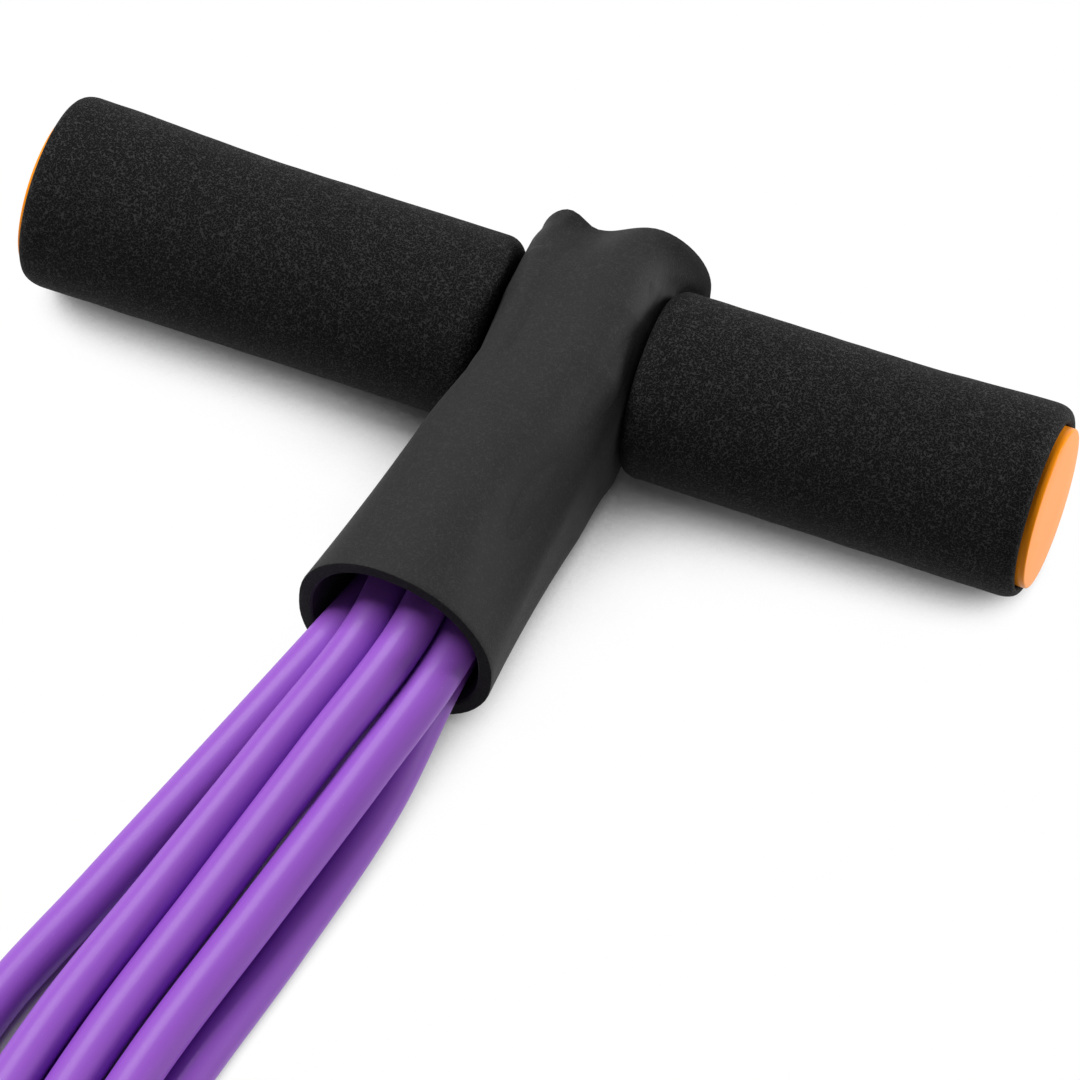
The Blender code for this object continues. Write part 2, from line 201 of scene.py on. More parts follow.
# Camera, as the photograph was taken
CAMERA_AIM = Vector((0.03785, 0.1534, 0.022))
CAMERA_DISTANCE = 0.9741
CAMERA_AZIMUTH = math.radians(16.246)
CAMERA_ELEVATION = math.radians(54.278)
CAMERA_ROLL = math.radians(4.729)
CAMERA_LENS = 161.8
CAMERA_SENSOR = 36.0

# Studio: white floor and low white walls under a dim ceiling, a softbox overhead and a low one at the back
FLOOR_HALF = 6.0
FLOOR_PAINT = 0.55
SHADE_REACH = 0.12
SHADE_RAYS = 16
OPEN_SKY = (0.15, 0.57)
WALL_TOP = (0.10, 0.30)
WALL_LIGHT = 0.24
CEILING_LIGHT = 0.15
KEY_PLACE = Vector((-0.62, 0.16, 1.09))
KEY_SIZE = 0.9
KEY_POWER = 21.0
SIDE_PLACE = Vector((0.78, 0.55, 0.12))
SIDE_SIZE = 0.35
SIDE_POWER = 8.5


class Wire:
    """An output socket that takes part in sums: each operator adds a Math node."""

    def __init__(self, tree, socket):
        self.tree = tree
        self.socket = socket

    def math(self, operation, *values):
        return self.tree.node("ShaderNodeMath", {"operation": operation}, dict(enumerate(values)))

    def out(self, name):
        """Another output of the same node."""
        return Wire(self.tree, self.socket.node.outputs[name])

    def __add__(self, other):
        return self.math("ADD", self, other)

    def __sub__(self, other):
        return self.math("SUBTRACT", self, other)

    def __rsub__(self, other):
        return self.math("SUBTRACT", other, self)

    def __mul__(self, other):
        return self.math("MULTIPLY", self, other)

    def __abs__(self):
        return self.math("ABSOLUTE", self)

    __radd__ = __add__
    __rmul__ = __mul__


class Tree:
    """A node tree. node() makes every node in it: settings first, then values or links for its sockets."""

    def __init__(self, tree):
        self.tree = tree

    def join(self, socket, value):
        if isinstance(value, Wire):
            self.tree.links.new(value.socket, socket)
        else:
            socket.default_value = value

    def node(self, kind, settings=None, sockets=None, output=0):
        made = self.tree.nodes.new(kind)
        for key, value in (settings or {}).items():
            setattr(made, key, value)
        for key, value in (sockets or {}).items():
            self.join(made.inputs[key], value)
        return Wire(self, made.outputs[output])

    def between(self, value, low, high):
        """0 at low and 1 at high, with a soft start and stop."""
        sockets = {"Value": value, "From Min": low, "From Max": high}
        return self.node("ShaderNodeMapRange", {"interpolation_type": "SMOOTHSTEP"}, sockets)

    def showing(self):
        """1 for the rays that show a surface to the camera, straight or by a mirror or glass."""
        path = self.node("ShaderNodeLightPath", output="Is Camera Ray")
        mirrored = path.math("MAXIMUM", path.out("Is Glossy Ray"), path.out("Is Transmission Ray"))
        return path.math("MAXIMUM", path, mirrored)


class Finish(Tree):
    """A material made of nodes."""

    def __init__(self, name):
        self.material = bpy.data.materials.new(name)
        self.material.use_nodes = True
        super().__init__(self.material.node_tree)
        self.shader = self.tree.nodes["Principled BSDF"]

    def place(self):
        return self.node("ShaderNodeTexCoord", output="Object")

    def attribute(self, name, output="Vector"):
        return self.node("ShaderNodeAttribute", {"attribute_name": name}, output=output)

    def stretched(self, spot, scale):
        return self.node("ShaderNodeMapping", sockets={"Vector": spot, "Scale": scale})

    def noise(self, spot, size, detail=2.0, roughness=0.5, distortion=0.0):
        """Noise whose features are about size metres across."""
        sockets = {"Vector": spot, "Scale": 1 / size, "Detail": detail, "Roughness": roughness,
                   "Distortion": distortion}
        return self.node("ShaderNodeTexNoise", sockets=sockets)

    def cells(self, spot, size):
        sockets = {"Vector": spot, "Scale": 1 / size}
        return self.node("ShaderNodeTexVoronoi", sockets=sockets, output="Distance")

    def mix(self, share, one, other):
        one, other = ((*c, 1.0) if isinstance(c, tuple) else c for c in (one, other))
        return self.node("ShaderNodeMix", {"data_type": "RGBA"}, {0: share, 6: one, 7: other}, 2)

    def bump(self, height, depth, strength):
        sockets = {"Height": height, "Distance": depth, "Strength": strength}
        return self.node("ShaderNodeBump", sockets=sockets, output="Normal")

    def wear(self, **sockets):
        """Sets the shader's sockets, with _ for the spaces in their names, and gives the material."""
        for name, value in sockets.items():
            if isinstance(value, tuple):
                value = (*value, 1.0)
            self.join(self.shader.inputs[name.replace("_", " ")], value)
        return self.material


def grip_foam_finish():
    """Black closed-cell foam with a skin of fine worm-like wrinkles, partly painted: lighter ridges as
    painted highlight, near-black hollows as painted shade.
    """
    foam = Finish("grip_foam")
    spot = foam.place()
    worms = foam.noise(spot, 0.57 * MM, detail=0.0, distortion=0.5)
    lines = foam.between(abs(worms - 0.5), 0.090, 0.030)
    grain = foam.noise(spot, 0.30 * MM, detail=2.0)
    clouds = foam.noise(spot, 18 * MM, detail=3.0)
    # Painted highlight and shade: the wrinkles' hollows are painted near black and their ridges lighter, on
    # top of the bump's own shading
    hollow = (0.0060, 0.0058, 0.0059)
    ridge_with_highlight = foam.mix(clouds, (0.0292, 0.0286, 0.0290), (0.0372, 0.0365, 0.0369))
    return foam.wear(
        Base_Color=foam.mix(lines, hollow, ridge_with_highlight),
        Roughness=0.80 - 0.14 * lines,
        Specular_IOR_Level=0.08,
        Normal=foam.bump(0.7 * lines + 0.4 * grain, 0.18 * MM, 1.0),
    )


def sleeve_foam_finish():
    """Smooth dark grey foam skin, with painted light on the handle's sleeve where it flares. Cut ends show
    fine cells.
    """
    foam = Finish("sleeve_foam")
    spot = foam.place()
    clouds = foam.noise(spot, 14 * MM, detail=4.0, roughness=0.6, distortion=0.6)
    flow = foam.noise(foam.stretched(spot, (1.0, 0.35, 1.0)), 1.6 * MM, detail=3.0, distortion=1.0)
    worms = foam.noise(spot, 0.9 * MM, detail=1.0, distortion=0.8)
    lines = foam.between(abs(worms - 0.5), 0.05, 0.01)
    threads = foam.noise(foam.stretched(spot, (1.0, 0.4, 0.6)), 0.7 * MM, distortion=2.0)
    lint = foam.between(threads, 0.72, 0.80)
    grain = foam.noise(spot, 0.30 * MM, detail=2.0)
    cells = foam.cells(spot, 0.55 * MM)
    cut = foam.attribute("cut_face", "Fac")
    skin = foam.mix(clouds * 0.6 + flow * 0.4, (0.0188, 0.0182, 0.0186), (0.0254, 0.0247, 0.0252))
    lint_grey = (0.085, 0.085, 0.086)
    skin = foam.mix(lines * 0.16 + lint * 0.40, skin, lint_grey)
    across = foam.node("ShaderNodeSeparateXYZ", sockets={"Vector": spot}, output="X")
    # Painted light: the skin over the rear flare is painted pale grey, standing in for light the lamps don't
    # bring there
    flare = 1.0
    for wire, bar, (low, high) in zip((across, across.out("Y")), HANDLE, FLARE_PAINTED_LIGHT_BOX):
        flare = flare * foam.between(wire, bar + low, bar + high)
    flare_painted_light = (0.075, 0.074, 0.075)
    skin = foam.mix(flare, skin, flare_painted_light)
    core = foam.mix(cells, (0.006, 0.006, 0.0065), (0.020, 0.019, 0.020))
    return foam.wear(
        Base_Color=foam.mix(cut, skin, core),
        Roughness=0.56 + 0.14 * flow + 0.25 * cut,
        Specular_IOR_Level=0.10,
        Sheen_Weight=0.04,
        Normal=foam.bump(0.35 * grain + 0.25 * flow + 0.3 * lines + 0.9 * cut * cells, 0.10 * MM, 0.6),
    )


def latex_finish():
    """Purple extruded latex: satin, a little cloudy, with faint draw lines along the tube."""
    latex = Finish("tube_latex")
    skin = latex.attribute("tube_skin")
    clouds = latex.noise(latex.stretched(skin, (1.0, 1.0, 0.25)), 6 * MM, detail=3.0)
    lines = latex.noise(latex.stretched(skin, (1.0, 1.0, 0.02)), 0.5 * MM, detail=2.0)
    dust = latex.between(latex.noise(skin, 0.5 * MM, detail=1.0), 0.70, 0.80)
    purple = latex.mix(clouds * 0.7 + lines * 0.3, (0.270, 0.076, 0.510), (0.305, 0.096, 0.565))
    lilac = (0.60, 0.42, 0.78)
    return latex.wear(
        Base_Color=latex.mix(dust * 0.10, purple, lilac),
        Roughness=0.40 + 0.12 * clouds,
        Specular_IOR_Level=0.30,
        Coat_Weight=0.07,
        Coat_Roughness=0.12,
        Normal=latex.bump(lines * 0.7 + clouds * 0.3, 0.03 * MM, 0.5),
    )


def cap_plastic_finish():
    """Orange moulded plastic with a fine moulded grain and faint flow marks."""
    plastic = Finish("cap_plastic")
    spot = plastic.place()
    flow = plastic.noise(plastic.stretched(spot, (1.0, 0.4, 1.0)), 7 * MM, detail=3.0, distortion=1.5)
    grain = plastic.noise(spot, 0.25 * MM, detail=2.0)
    streaks = plastic.noise(plastic.stretched(spot, (1.0, 1.0, 0.15)), 1.2 * MM, detail=3.0)
    scuffs = plastic.between(streaks, 0.62, 0.75)
    return plastic.wear(
        Base_Color=plastic.mix(flow, (0.96, 0.275, 0.004), (1.0, 0.330, 0.010)),
        Roughness=0.26 + 0.06 * flow + 0.08 * scuffs,
        Specular_IOR_Level=0.06,
        Normal=plastic.bump(grain * 0.6 + scuffs * 0.2, 0.015 * MM, 0.4),
    )


def bar_steel_finish():
    """Drawn steel tube with fine rings from the polishing belt."""
    steel = Finish("bar_steel")
    spot = steel.place()
    rings = steel.noise(steel.stretched(spot, (1.0, 0.05, 0.05)), 0.3 * MM, detail=2.0)
    haze = steel.noise(spot, 9 * MM, detail=3.0)
    return steel.wear(
        Base_Color=steel.mix(haze, (0.50, 0.50, 0.52), (0.60, 0.60, 0.61)),
        Metallic=1.0,
        Roughness=0.28 + 0.12 * haze + 0.08 * rings,
        Normal=steel.bump(rings, 0.01 * MM, 0.4),
    )


def joiner_plastic_finish():
    """Black moulded plastic with a fine grain."""
    plastic = Finish("joiner_plastic")
    grain = plastic.noise(plastic.place(), 0.4 * MM, detail=2.0)
    return plastic.wear(
        Base_Color=plastic.mix(grain, (0.020, 0.020, 0.021), (0.036, 0.036, 0.037)),
        Roughness=0.42 + 0.12 * grain,
        Normal=plastic.bump(grain, 0.02 * MM, 0.4),
    )


def add_piece(name, mesh, finish):
    piece = bpy.data.objects.new(name, mesh)
    mesh.materials.clear()
    mesh.materials.append(finish)
    bpy.context.scene.collection.objects.link(piece)
    return piece


def smooth(t):
    t = np.clip(t, 0.0, 1.0)
    return t * t * (3 - 2 * t)


def quarter(along, radius, reach_along, reach_radius, start):
    """Points of a quarter ellipse about (along, radius), from the angle start to start plus 90 degrees."""
    turns = [math.radians(start + 90 * i / ROUND_STEPS) for i in range(ROUND_STEPS + 1)]
    return [(along + reach_along * math.cos(t), radius + reach_radius * math.sin(t)) for t in turns]


def turned(name, profile, sides, closed, uneven=None):
    """Mesh of a profile of (along, radius) points turned about the X axis. A closed one is a ring."""
    form = bmesh.new()
    rings = []
    for along, radius in profile:
        if radius == 0:
            rings.append([form.verts.new((along, 0, 0))])
            continue
        ring = []
        for i in range(sides):
            turn = math.tau * i / sides
            reach = radius + (uneven(along, radius, turn) if uneven else 0.0)
            ring.append(form.verts.new((along, reach * math.cos(turn), reach * math.sin(turn))))
        rings.append(ring)
    pairs = list(zip(rings, rings[1:]))
    if closed:
        pairs.append((rings[-1], rings[0]))
    for one, other in pairs:
        for i in range(sides):
            j = (i + 1) % sides
            corners = [one[i % len(one)], one[j % len(one)], other[j % len(other)], other[i % len(other)]]
            form.faces.new(list(dict.fromkeys(corners)))
    return finished_mesh(name, form)


def finished_mesh(name, form):
    """The form as a smooth mesh with its faces outwards."""
    bmesh.ops.recalc_face_normals(form, faces=form.faces)
    mesh = bpy.data.meshes.new(name)
    form.to_mesh(mesh)
    form.free()
    mesh.shade_smooth()
    mesh.set_sharp_from_angle(angle=SHARP_ANGLE)
    return mesh


def evened(profile, step):
    """The closed profile with points put in on long runs."""
    points = []
    for (a0, r0), (a1, r1) in zip(profile, profile[1:] + profile[:1]):
        parts = max(1, math.ceil(math.hypot(a1 - a0, r1 - r0) / step))
        points += [(a0 + (a1 - a0) * i / parts, r0 + (r1 - r0) * i / parts) for i in range(parts)]
    return points


def foam_unevenness(seed, end, swell, swell_run):
    """A few low waves over a foam tube's outside and a swell on one side of its end, none at its bore."""
    draw = np.random.default_rng(seed)
    waves = []
    for _ in range(WAVE_COUNT):
        turns = int(draw.integers(0, WAVE_TURNS))
        length = WAVE_LENGTH * draw.uniform(*WAVE_LENGTHS)
        waves.append((turns, math.tau / length, draw.uniform(0, math.tau), draw.uniform(*WAVE_WEIGHTS)))
    weight = sum(wave[3] for wave in waves)

    def height(along, radius, turn):
        rise = WAVE_HEIGHT * sum(w * math.cos(n * turn + k * along + p) for n, k, p, w in waves) / weight
        rise += swell * smooth((abs(along) - end) / swell_run + 1) * (1 + math.cos(turn - SWELL_TURN)) / 2
        return rise * smooth((radius - CAP_RADIUS) / (GRIP_RADIUS - CAP_RADIUS))

    return height


def leaned(mesh, lean, start, run):
    """Slants a piece at a bar's end: past start its points move along the bar, fully once run is passed."""
    for vertex in mesh.vertices:
        along = vertex.co.x
        share = smooth((abs(along) - start) / run)
        vertex.co.x -= math.copysign(lean * share, along) * LEAN_WAY.dot(vertex.co)


def plug_face(node, centre):
    """How far from the bar's middle a plug's face is."""
    low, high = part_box(node)
    return max(abs(low.x - centre.x), abs(high.x - centre.x)) - PLUG_SINK.get(node, 0.0)


def make_grip(name, node, cap, centre, side, lean, body, finish, seed):
    """Foam tube from the sleeve to the bar's end, with a rounded lip round the plug."""
    low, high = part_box(node)
    start, end = sorted(abs(x - centre.x) for x in (low.x, high.x))
    bore = BAR_RADIUS + CLEARANCE
    seat = CAP_RADIUS + CLEARANCE
    seat_floor = plug_face(cap, centre) - CAP_FLANGE - CLEARANCE
    lip = GRIP_RADIUS - LIP_DROP
    profile = [(start, bore)]
    profile += quarter(start + INNER_ROUND, GRIP_RADIUS - INNER_ROUND, INNER_ROUND, INNER_ROUND, 90)[::-1]
    profile += quarter(end - OUTER_ROUND, lip, OUTER_ROUND, LIP_DROP, 0)[::-1]
    profile += quarter(end - LIP_ROUND, lip, LIP_ROUND, lip - seat, -90)[::-1][1:]
    profile += [(seat_floor, seat), (seat_floor, bore)]
    profile = [(side * along, radius) for along, radius in evened(profile, GRIP_STEP)]
    uneven = foam_unevenness(seed, end, *END_SWELL.get(node, (0.0, end)))
    mesh = turned(name, profile, GRIP_SIDES, True, uneven)
    leaned(mesh, lean, end - LEAN_RUN, LEAN_RUN - CAP_FLANGE)
    mesh.transform(Matrix.Translation(centre))
    grip = add_piece(name, mesh, finish)
    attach(grip, body)
    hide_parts(node)


def make_plug(name, node, centre, side, lean, body, finish):
    """Moulded plug: a flange with rounded edges and a hollow stem in the bar."""
    face = plug_face(node, centre)
    back = face - CAP_FLANGE
    tip = back - CAP_STEM_LENGTH
    stem = BAR_RADIUS - BAR_WALL - CLEARANCE
    hollow = stem - CAP_STEM_WALL
    edge = CAP_EDGE_ROUND
    profile = [(face, 0.0), (face, CAP_RADIUS * CAP_FACE_RING)]
    profile += quarter(face - edge, CAP_RADIUS - edge, edge, edge, 0)
    edge = CAP_BACK_ROUND
    profile += quarter(back + edge, CAP_RADIUS - edge, edge, edge, 90)
    profile += [(back, stem), (tip, stem), (tip, hollow), (back, hollow), (back, 0.0)]
    profile = [(side * along, radius) for along, radius in profile]
    mesh = turned(name, profile, CAP_SIDES, False)
    leaned(mesh, lean, tip, CAP_STEM_LENGTH)
    mesh.transform(Matrix.Translation(centre))
    plug = add_piece(name, mesh, finish)
    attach(plug, body)
    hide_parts(node)


def clamped(t):
    return min(max(t, 0.0), 1.0)


def sleeve_shape(at):
    """A sleeve's middle, half width and height, upper right and left corner and bore's corner at a place."""
    front = clamped((-at - FRONT_START) / (SLEEVE_MOUTH - FRONT_START))
    rear = clamped((at - REAR_START) / (SLEEVE_BACK - REAR_START))
    snug = TUBE_OD / 2 + CLEARANCE
    middle = MOUTH_SHIFT * front ** MOUTH_SHIFT_BEND + BACK_SHIFT * rear ** 2
    shoulder = SHOULDER * smooth((-at - FRONT_START) / SHOULDER_RUN)
    wide = SLEEVE_WAIST + shoulder + MOUTH_FLARE * front ** 2 + BACK_FLARE * rear ** 4
    half_height = SLEEVE_HALF_HEIGHT - END_DROP * (front + rear)
    to_mouth = clamped(-at / SLEEVE_MOUTH) ** MOUTH_CORNER_BEND
    to_back = clamped(at / SLEEVE_BACK)
    corner = WAIST_CORNER + (MOUTH_CORNER - WAIST_CORNER) * to_mouth
    left_corner = corner + (RIDGE_CORNER - WAIST_CORNER) * to_back
    corner += (BACK_CORNER - WAIST_CORNER) * to_back
    bore_corner = snug + (MOUTH_CORNER - SLEEVE_WALL - snug) * front
    bore_corner += (BACK_CORNER - SLEEVE_WALL - snug) * rear
    return middle, wide, half_height, corner, left_corner, bore_corner


def rounded_outline(half_width, half_height, corner_x, corner_z):
    """Points of a rounded rectangle from its lower side round, alike on each flat and on each corner."""
    sides = ((0, -1), (1, 0), (0, 1), (-1, 0))
    half = Vector((half_width, half_height))
    corner = Vector((min(corner_x, half_width), min(corner_z, half_height)))
    points = []
    for out in sides:
        out = Vector(out)
        along = Vector((-out.y, out.x))
        for i in range(SLEEVE_FLAT_POINTS):
            run = 2 * (i + 1) / (SLEEVE_FLAT_POINTS + 1) - 1
            points.append(out * half + along * (half - corner) * run)
        for i in range(SLEEVE_CORNER_STEPS + 1):
            turn = math.pi / 2 * i / SLEEVE_CORNER_STEPS
            round_out = out * math.cos(turn) + along * math.sin(turn)
            points.append((out + along) * (half - corner) + round_out * corner)
    return points


def sleeve_section(at, skew, bar_z, is_bore):
    """Points round a sleeve's outside or bore. It spreads only outside the grips' round ends."""
    middle, wide, half_height, corner, left_corner, bore_corner = sleeve_shape(at)
    narrow = SLEEVE_WAIST
    groove = GROOVE_DEPTH * smooth((at - GROOVE_START) / (SLEEVE_BACK - GROOVE_START))
    if is_bore:
        narrow -= SLEEVE_SIDE_WALL
        wide = max(wide - SLEEVE_WALL, narrow)
        half_height -= SLEEVE_WALL
        corner = left_corner = low_corner = bore_corner
        dent = 0.0
    else:
        low_corner = bore_corner + SLEEVE_WALL
        groove += CREASE_DEPTH * smooth(1 + at / CREASE_REACH)
        dent = skew * DENT_DEPTH * math.exp(-((at - DENT_PLACE) / DENT_REACH) ** 2)
    widening = wide / narrow
    lean = skew * MOUTH_LEAN * smooth(-at / SLEEVE_MOUTH)
    points = []
    bends = (low_corner, left_corner, corner)
    outlines = [rounded_outline(narrow, half_height, bend / widening, bend) for bend in bends]
    for low, left, right in zip(*outlines):
        point = low if low.y < 0 else left if left.x < 0 else right
        is_flare = at > 0 and point.x > 0
        start, run = (FLARE_START, FLARE_RUN) if is_flare else (SPREAD_START, SPREAD_RUN)
        spread = smooth((math.hypot(at, point.y) - start) / run)
        x = point.x * (1 + spread * (widening - 1))
        z = bar_z + point.y
        if point.x > 0:
            x -= dent * math.exp(-((point.y - DENT_RISE) / DENT_SPAN) ** 2) * smooth(x / narrow)
        if point.y > 0:
            width = GROOVE_WIDTHS[1] if x > GROOVE_PLACE else GROOVE_WIDTHS[0]
            z -= groove * math.exp(-((x - GROOVE_PLACE) / width) ** 2)
        points.append(Vector((x + spread * skew * middle, at - lean * x, max(z, 0.0))))
    return points


def sleeve_ring(form, at, inset, skew, bar_z):
    """One ring of the sleeve, some way from its outside to its bore."""
    share = inset / SLEEVE_WALL
    outside = sleeve_section(at, skew, bar_z, False)
    bore = sleeve_section(at, skew, bar_z, True)
    return [form.verts.new(a.lerp(b, share)) for a, b in zip(outside, bore)]


def make_sleeve(name, node, centre, skew, turn, body, finish):
    """Foam sleeve: skin, bore and the two cut ends with slightly broken edges, opened for the bar."""
    form = bmesh.new()
    cut = form.faces.layers.float.new("cut_face")
    edge = SLEEVE_EDGE
    steps = math.ceil((SLEEVE_MOUTH + SLEEVE_BACK) / SLEEVE_STEP)
    ends = (-SLEEVE_MOUTH, SLEEVE_BACK)
    runs = np.linspace(ends[0] + edge, ends[1] - edge, steps)
    stations = [(at, 0.0, 0.0) for at in runs]
    stations += [(ends[1] - SLEEVE_EDGE_BREAK, SLEEVE_EDGE_BREAK, 0.0), (ends[1], edge, 1.0)]
    stations += [(ends[1], SLEEVE_WALL - edge, 1.0), (ends[1] - edge, SLEEVE_WALL, 1.0)]
    stations += [(at, SLEEVE_WALL, 0.0) for at in runs[::-1][1:]]
    stations += [(ends[0], SLEEVE_WALL - edge, 1.0), (ends[0], edge, 1.0)]
    stations += [(ends[0] + SLEEVE_EDGE_BREAK, SLEEVE_EDGE_BREAK, 1.0)]
    rings = [sleeve_ring(form, at, inset, skew, centre.z) for at, inset, _ in stations]
    for index, one in enumerate(rings):
        other = rings[(index + 1) % len(rings)]
        is_cut = min(stations[index][2], stations[(index + 1) % len(rings)][2])
        for i in range(len(one)):
            j = (i + 1) % len(one)
            face = form.faces.new((one[i], one[j], other[j], other[i]))
            face[cut] = is_cut
    mesh = finished_mesh(name, form)
    mesh.transform(Matrix.Translation((centre.x, centre.y, 0)) @ Matrix.Rotation(turn, 4, "Z"))
    sleeve = add_piece(name, mesh, finish)
    open_for_bar(sleeve, centre)
    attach(sleeve, body)
    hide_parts(node)


def open_for_bar(sleeve, centre):
    """Cuts the bar's round holes in the sleeve's two sides."""
    radius = BAR_RADIUS + CLEARANCE
    reach = BAR_HOLE_REACH
    profile = [(-reach, 0.0), (-reach, radius), (reach, radius), (reach, 0.0)]
    drill_mesh = turned("bar_drill", profile, BAR_HOLE_SIDES, False)
    drill_mesh.transform(Matrix.Translation(centre))
    drill = bpy.data.objects.new("bar_drill", drill_mesh)
    bpy.context.scene.collection.objects.link(drill)
    cut = sleeve.modifiers.new("bar holes", "BOOLEAN")
    cut.operation = "DIFFERENCE"
    cut.object = drill
    graph = bpy.context.evaluated_depsgraph_get()
    opened = bpy.data.meshes.new_from_object(sleeve.evaluated_get(graph))
    sleeve.modifiers.clear()
    sleeve.data = opened
    bpy.data.objects.remove(drill, do_unlink=True)


def fold(centre, side):
    """Half turn of a tube over a bar, from its upper strand to its lower one on the given side in y."""
    turns = [math.pi * i / FOLD_STEPS for i in range(FOLD_STEPS + 1)]
    reach = [FOLD_RADIUS * Vector((0, side * math.sin(t), math.cos(t))) for t in turns]
    return [centre + step for step in reach]


def loop_route(index, place):
    """One tube's middle line: from the joiner along the lower strand, round the foot bar and back."""
    across = Vector((place * TUBE_PITCH, 0, 0))
    ground = Vector((HANDLE.x, HANDLE.y, 0))
    lower, upper = ([ground + Vector((row[1 + index][0], row[0], row[1 + index][1])) * MM for row in route]
                    for route in (LOWER_ROUTE, UPPER_ROUTE))
    joiner = HANDLE + across + Vector((0, JOINER_PLACE, -FOLD_RADIUS))
    half_gap = Vector((0, JOINER_HALF_GAP, 0))
    far_fold = fold(FOOT + across, -1)[::-1]
    near_fold = fold(HANDLE + across, 1)
    return [joiner - half_gap] + lower + far_fold + upper[::-1] + near_fold + [joiner + half_gap]


def smooth_route(route, step):
    """Points along a smooth curve through the route, at most about one step apart."""
    padded = [2 * route[0] - route[1]] + route + [2 * route[-1] - route[-2]]
    points = []
    for before, a, b, after in zip(padded, padded[1:], padded[2:], padded[3:]):
        length = (b - a).length
        pieces = max(1, math.ceil(length / step))
        lead = (b - before) * length / ((a - before).length + length)
        tail = (after - a) * length / ((after - b).length + length)
        for i in range(pieces):
            t = i / pieces
            rise = t * t * (3 - 2 * t)
            ends = (1 - rise) * a + rise * b
            points.append(ends + t * (1 - t) ** 2 * lead - t * t * (1 - t) * tail)
    points.append(route[-1])
    return points


def tube_group():
    """Geometry Nodes that draw a tube along a curve and keep each point's place on the tube's skin."""
    group = bpy.data.node_groups.new("latex_tube_on_route", "GeometryNodeTree")
    inputs = (("Geometry", "NodeSocketGeometry"), ("Tube Diameter", "NodeSocketFloat"),
              ("Sides", "NodeSocketInt"), ("Finish", "NodeSocketMaterial"))
    for name, kind in inputs:
        group.interface.new_socket(name, in_out="INPUT", socket_type=kind)
    group.interface.new_socket("Geometry", in_out="OUTPUT", socket_type="NodeSocketGeometry")
    tree = Tree(group)

    def kept(geometry, name, value):
        """The geometry with a value kept on its points, which its output of that name then gives."""
        made = tree.node("GeometryNodeCaptureAttribute", {"domain": "POINT"}, {"Geometry": geometry})
        made.socket.node.capture_items.new("FLOAT", name)
        tree.join(made.socket.node.inputs[name], value)
        return made

    given = tree.node("NodeGroupInput", output="Geometry")
    radius = given.out("Tube Diameter") * 0.5
    sides = {"Resolution": given.out("Sides"), "Radius": radius}
    spot = tree.node("GeometryNodeSplineParameter", output="Factor")
    ring = kept(tree.node("GeometryNodeCurvePrimitiveCircle", sockets=sides), "Round", spot)
    route = kept(given, "Along", spot.out("Length"))
    tube = tree.node("GeometryNodeCurveToMesh",
                     sockets={"Curve": route, "Profile Curve": ring, "Fill Caps": True})
    turn = ring.out("Round") * math.tau
    place = {"X": radius * turn.math("COSINE", turn), "Y": radius * turn.math("SINE", turn),
             "Z": route.out("Along")}
    skin = tree.node("GeometryNodeStoreNamedAttribute", {"data_type": "FLOAT_VECTOR", "domain": "POINT"},
                     {"Geometry": tube, "Name": "tube_skin",
                      "Value": tree.node("ShaderNodeCombineXYZ", sockets=place)})
    soft = tree.node("GeometryNodeSetShadeSmooth", sockets={"Geometry": skin})
    real = tree.node("GeometryNodeRealizeInstances", sockets={"Geometry": soft})
    dressed = tree.node("GeometryNodeSetMaterial",
                        sockets={"Geometry": real, "Material": given.out("Finish")})
    tree.join(group.nodes.new("NodeGroupOutput").inputs["Geometry"], dressed)
    return group


def make_tube(word, index, place, group, finish):
    """One latex loop as a tube mesh along its route between the two sleeves."""
    name = word + "_latex_tube"
    points = smooth_route(loop_route(index, place), TUBE_STEP)
    curve = bpy.data.curves.new(name + "_route", "CURVE")
    curve.dimensions = "3D"
    curve.twist_mode = "MINIMUM"
    spline = curve.splines.new("POLY")
    spline.points.add(len(points) - 1)
    for target, point in zip(spline.points, points):
        target.co = (*point, 1.0)
    guide = bpy.data.objects.new(name + "_route", curve)
    bpy.context.scene.collection.objects.link(guide)
    draw = guide.modifiers.new("tube", "NODES")
    draw.node_group = group
    sockets = {item.name: item.identifier for item in group.interface.items_tree if item.in_out == "INPUT"}
    draw[sockets["Tube Diameter"]] = TUBE_SHOWN_OD
    draw[sockets["Sides"]] = TUBE_SIDES
    draw[sockets["Finish"]] = finish
    graph = bpy.context.evaluated_depsgraph_get()
    mesh = bpy.data.meshes.new_from_object(guide.evaluated_get(graph))
    bpy.data.objects.remove(guide, do_unlink=True)
    tube = add_piece(name, mesh, finish)
    length = sum((b - a).length for a, b in zip(points, points[1:]))
    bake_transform(tube)
    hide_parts(word + "_tube_loop")


def dress_node(node, finish):
    """Gives a node of the frame its finish."""
    materials = frame["nodes"][node].data.materials
    materials.clear()
    materials.append(finish)


def make_floor():
    """White floor: plain white where it lies open, and paint in the object's shade."""
    floor = Finish("studio_floor")
    material = floor.wear(Base_Color=(FLOOR_PAINT,) * 3, Roughness=1.0, Specular_IOR_Level=0.0)
    material.cycles.emission_sampling = "NONE"
    sky = floor.node("ShaderNodeAmbientOcclusion", {"samples": SHADE_RAYS}, {"Distance": SHADE_REACH}, "AO")
    white = floor.node("ShaderNodeEmission", sockets={"Strength": 1.0})
    paint = Wire(floor, floor.shader.outputs["BSDF"])
    share = floor.between(sky, *OPEN_SKY) * floor.showing()
    surface = floor.node("ShaderNodeMixShader", sockets={0: share, 1: paint, 2: white})
    floor.join(floor.tree.nodes["Material Output"].inputs["Surface"], surface)
    mesh = bpy.data.meshes.new("studio_floor")
    edge = FLOOR_HALF
    corners = [(-edge, -edge, 0), (edge, -edge, 0), (edge, edge, 0), (-edge, edge, 0)]
    mesh.from_pydata(corners, [], [(0, 1, 2, 3)])
    add_piece("studio_floor", mesh, material)


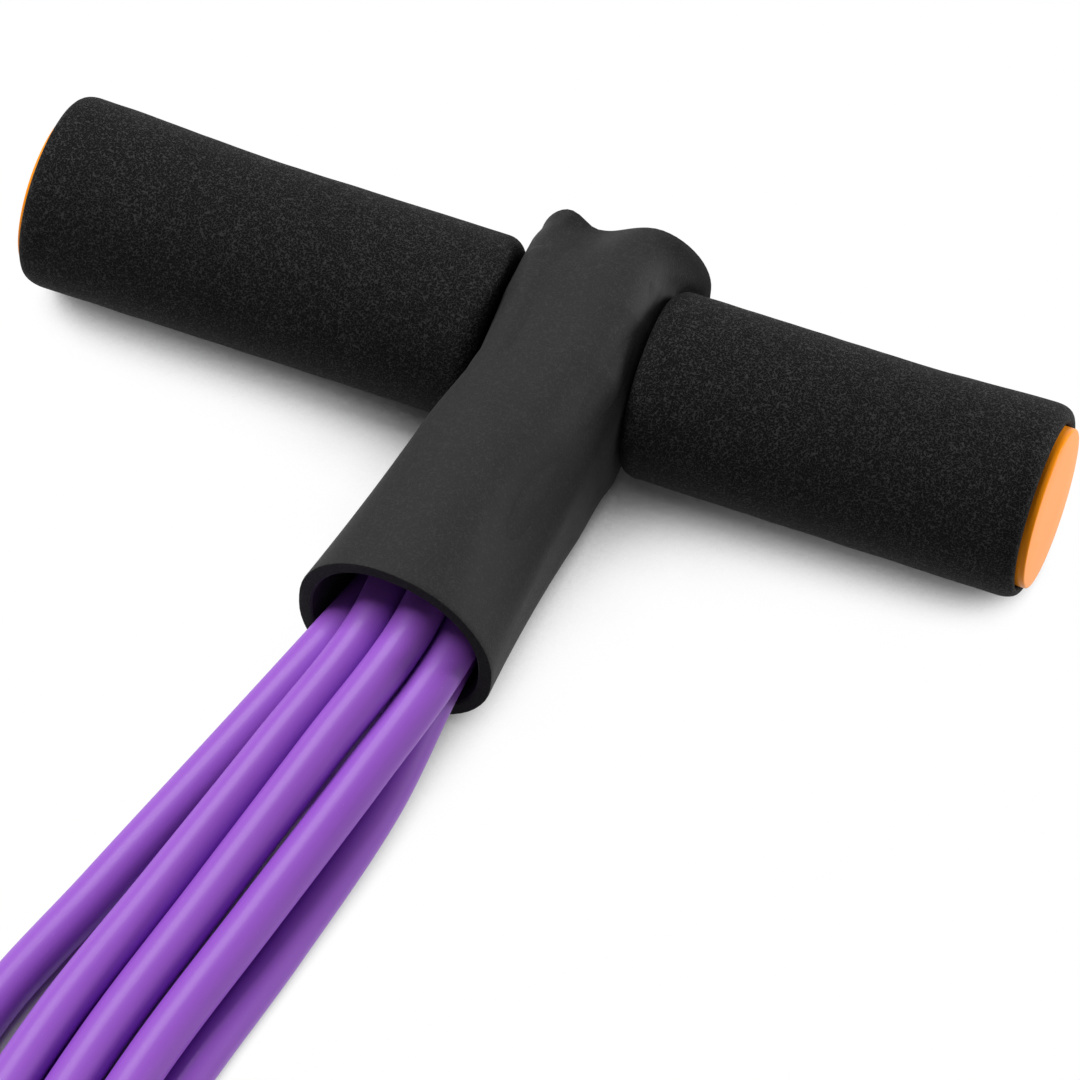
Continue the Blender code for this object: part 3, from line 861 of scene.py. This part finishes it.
def make_softbox(name, place, size, power):
    lamp = bpy.data.lights.new(name, "AREA")
    lamp.shape = "SQUARE"
    lamp.size = size
    lamp.energy = power
    box = bpy.data.objects.new(name, lamp)
    box.location = HANDLE + place
    box.rotation_euler = place.to_track_quat("Z", "Y").to_euler()
    bpy.context.scene.collection.objects.link(box)


def make_light():
    """White walls low down round the floor, a dim ceiling, and the softboxes."""
    world = bpy.data.worlds.new("studio_walls")
    world.use_nodes = True
    studio = Tree(world.node_tree)
    way = studio.node("ShaderNodeTexCoord", output="Generated")
    height = studio.node("ShaderNodeSeparateXYZ", sockets={"Vector": way}, output="Z")
    ceiling = studio.between(height, *WALL_TOP)
    walls = WALL_LIGHT + (1 - WALL_LIGHT) * studio.showing()
    background = studio.tree.nodes["Background"].inputs
    background["Color"].default_value = (1.0, 1.0, 1.0, 1.0)
    studio.join(background["Strength"], walls + (CEILING_LIGHT - walls) * ceiling)
    bpy.context.scene.world = world
    make_softbox("key_softbox", KEY_PLACE, KEY_SIZE, KEY_POWER)
    make_softbox("side_softbox", SIDE_PLACE, SIDE_SIZE, SIDE_POWER)


def make_camera():
    data = bpy.data.cameras.new("photo_camera")
    data.sensor_width = CAMERA_SENSOR
    data.lens = CAMERA_LENS
    camera = bpy.data.objects.new("photo_camera", data)
    level = math.cos(CAMERA_ELEVATION)
    right = Vector((math.cos(CAMERA_AZIMUTH), math.sin(CAMERA_AZIMUTH), 0))
    back = Vector((level * right.y, -level * right.x, math.sin(CAMERA_ELEVATION)))
    axes = Matrix((right, back.cross(right), back)).transposed()
    turn = axes @ Matrix.Rotation(CAMERA_ROLL, 3, "Z")
    camera.matrix_world = Matrix.Translation(CAMERA_AIM + CAMERA_DISTANCE * back) @ turn.to_4x4()
    bpy.context.scene.collection.objects.link(camera)
    bpy.context.scene.camera = camera


def main():
    bpy.context.scene.view_settings.view_transform = "Standard"
    grip_foam = grip_foam_finish()
    sleeve_foam = sleeve_foam_finish()
    latex = latex_finish()
    cap_plastic = cap_plastic_finish()
    bar_steel = bar_steel_finish()
    joiner_plastic = joiner_plastic_finish()

    make_camera()
    group = tube_group()
    for index, (word, place) in enumerate(LOOPS):
        make_tube(word, index, place, group, latex)
        dress_node(word + "_tube_joiner", joiner_plastic)
    for bar in ("handle_bar", "foot_bar"):
        dress_node(bar, bar_steel)
    make_sleeve("handle_sleeve_foam", "handle_sleeve", HANDLE, 1.0, 0.0, "band", sleeve_foam)
    make_sleeve("foot_sleeve_foam", "foot_sleeve", FOOT, 0.0, math.pi, "foot_end", sleeve_foam)
    for seed, (word, side) in enumerate((("left", -1), ("right", 1))):
        lean = END_LEAN.get(word, 0.0)
        grip, cap = word + "_grip", word + "_end_cap"
        make_grip(word + "_grip_foam", grip, cap, HANDLE, side, lean, "handle", grip_foam, seed)
        make_plug(word + "_end_plug", cap, HANDLE, side, lean, "handle", cap_plastic)
        roller, cap = word + "_foot_roller", word + "_foot_cap"
        make_grip(word + "_roller_foam", roller, cap, FOOT, side, 0.0, "foot_bar_set", grip_foam, seed + 2)
        make_plug(word + "_foot_plug", cap, FOOT, side, 0.0, "foot_bar_set", cap_plastic)
    make_floor()
    make_light()


main()
